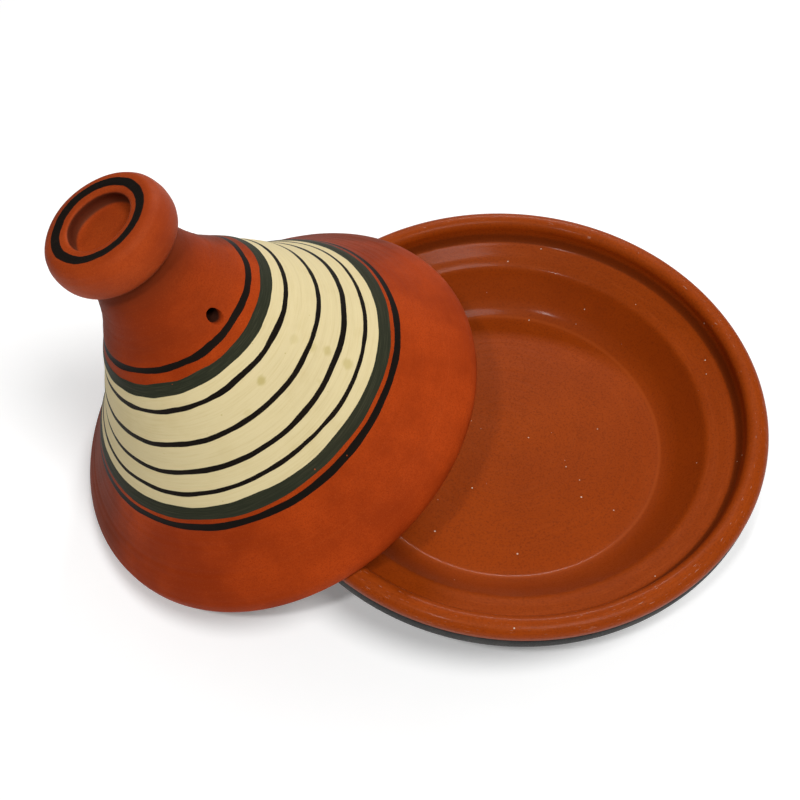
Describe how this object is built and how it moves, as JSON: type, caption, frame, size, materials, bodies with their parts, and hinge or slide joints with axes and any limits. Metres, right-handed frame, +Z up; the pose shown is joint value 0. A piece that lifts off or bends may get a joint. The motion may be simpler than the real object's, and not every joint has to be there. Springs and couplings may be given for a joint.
{
  "type": "tagine pot",
  "caption": "Fired-clay tagine: a shallow round dish with a stepped rim, and a tall banded conical lid with a round knob leaning on its side.",
  "frame": {"origin": "centre of the dish's flat foot, on the table", "axes": "+Z up; +X along the long way of the set, from the leaning lid towards the dish's free side; +Y away from the side the steam hole faces"},
  "size_m": [0.3943, 0.2908, 0.2153],
  "materials": {
    "glazed_terracotta": "clear glossy glaze over orange-brown clay",
    "dark_outer_coat": "dull smoke-dark coat",
    "matt_terracotta": "satin, thrown",
    "knob_terracotta": "satin, thrown",
    "cream_slip": "matt brushed slip",
    "green_black_paint": "matt brushed paint",
    "black_paint": "matt brushed paint"
  },
  "bodies": {
    "dish": {"dish_body": "glazed_terracotta", "dish_outer_coat": "dark_outer_coat"},
    "lid": {"lid_cone": "matt_terracotta", "lid_knob": "knob_terracotta", "knob_black_ring": "black_paint", "upper_black_ring": "black_paint", "upper_green_band": "green_black_paint", "cream_slip_band": "cream_slip", "fine_line_1": "black_paint", "fine_line_2": "black_paint", "fine_line_3": "black_paint", "fine_line_4": "black_paint", "lower_green_band": "green_black_paint", "lower_black_ring": "black_paint"}
  },
  "joints": [
    {"name": "lid_lift", "type": "slide", "parent": "dish", "child": "lid", "axis": [0, 0, 1], "range_m": [0, 0.12]}
  ]
}
